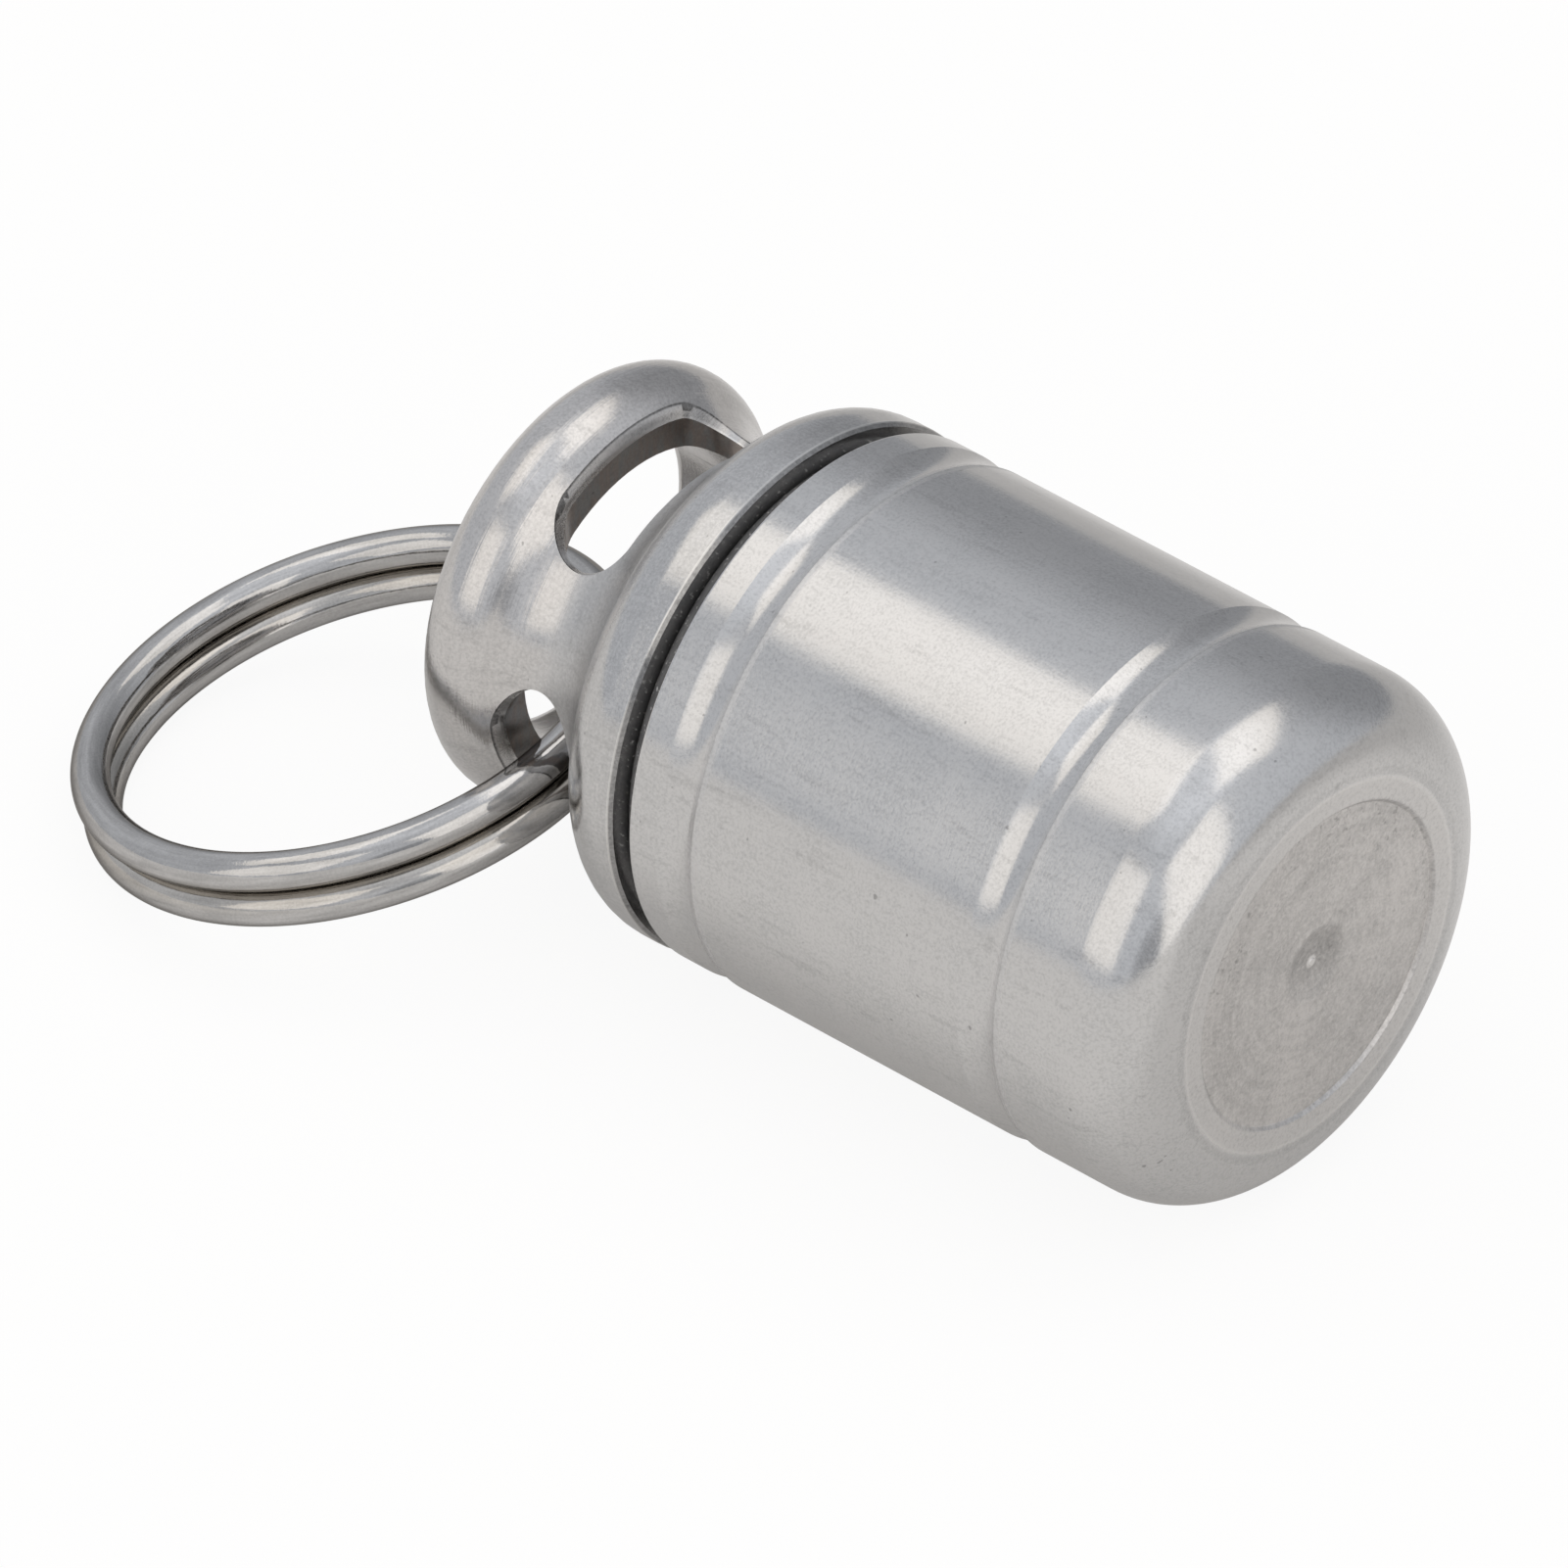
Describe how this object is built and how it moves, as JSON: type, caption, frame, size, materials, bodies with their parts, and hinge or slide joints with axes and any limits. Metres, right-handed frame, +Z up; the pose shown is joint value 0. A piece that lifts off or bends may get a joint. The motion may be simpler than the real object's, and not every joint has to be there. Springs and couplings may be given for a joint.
{
  "type": "pill fob keychain",
  "caption": "Small turned steel screw-top pill canister with a rubber seal, an open windowed ring head and a split key ring.",
  "frame": {"origin": "centre of the canister's base plane, on its axis", "axes": "+Y along the axis from base to head, +Z up as the fob lies on its side"},
  "size_m": [0.0209, 0.0387, 0.016],
  "materials": {
    "turned_steel": "satin, fine turning marks round the axis",
    "seal_rubber": "matt black",
    "ring_wire": "polished round wire"
  },
  "bodies": {
    "canister": {"canister": "turned_steel"},
    "seal": {"o_ring": "seal_rubber"},
    "cap": {"cap": "turned_steel"},
    "split_ring": {"split_ring": "ring_wire"}
  },
  "joints": [
    {"name": "cap_lift", "type": "slide", "parent": "canister", "child": "seal", "axis": [0, 1, 0], "range_m": [0, 0.0052]},
    {"name": "cap_turn", "type": "hinge", "parent": "seal", "child": "cap", "pos_m": [0, 0.01854, 0], "axis": [0, 1, 0], "range_deg": [0, 1870]},
    {"name": "ring_swing", "type": "hinge", "parent": "cap", "child": "split_ring", "pos_m": [-0.00498, 0.0239, -0.00276], "axis": [1, 0, 0], "range_deg": [0, 55]}
  ],
  "couplings": [
    {"joint": "cap_lift", "follows": "cap_turn", "m_per_rad": 0.00015915}
  ]
}
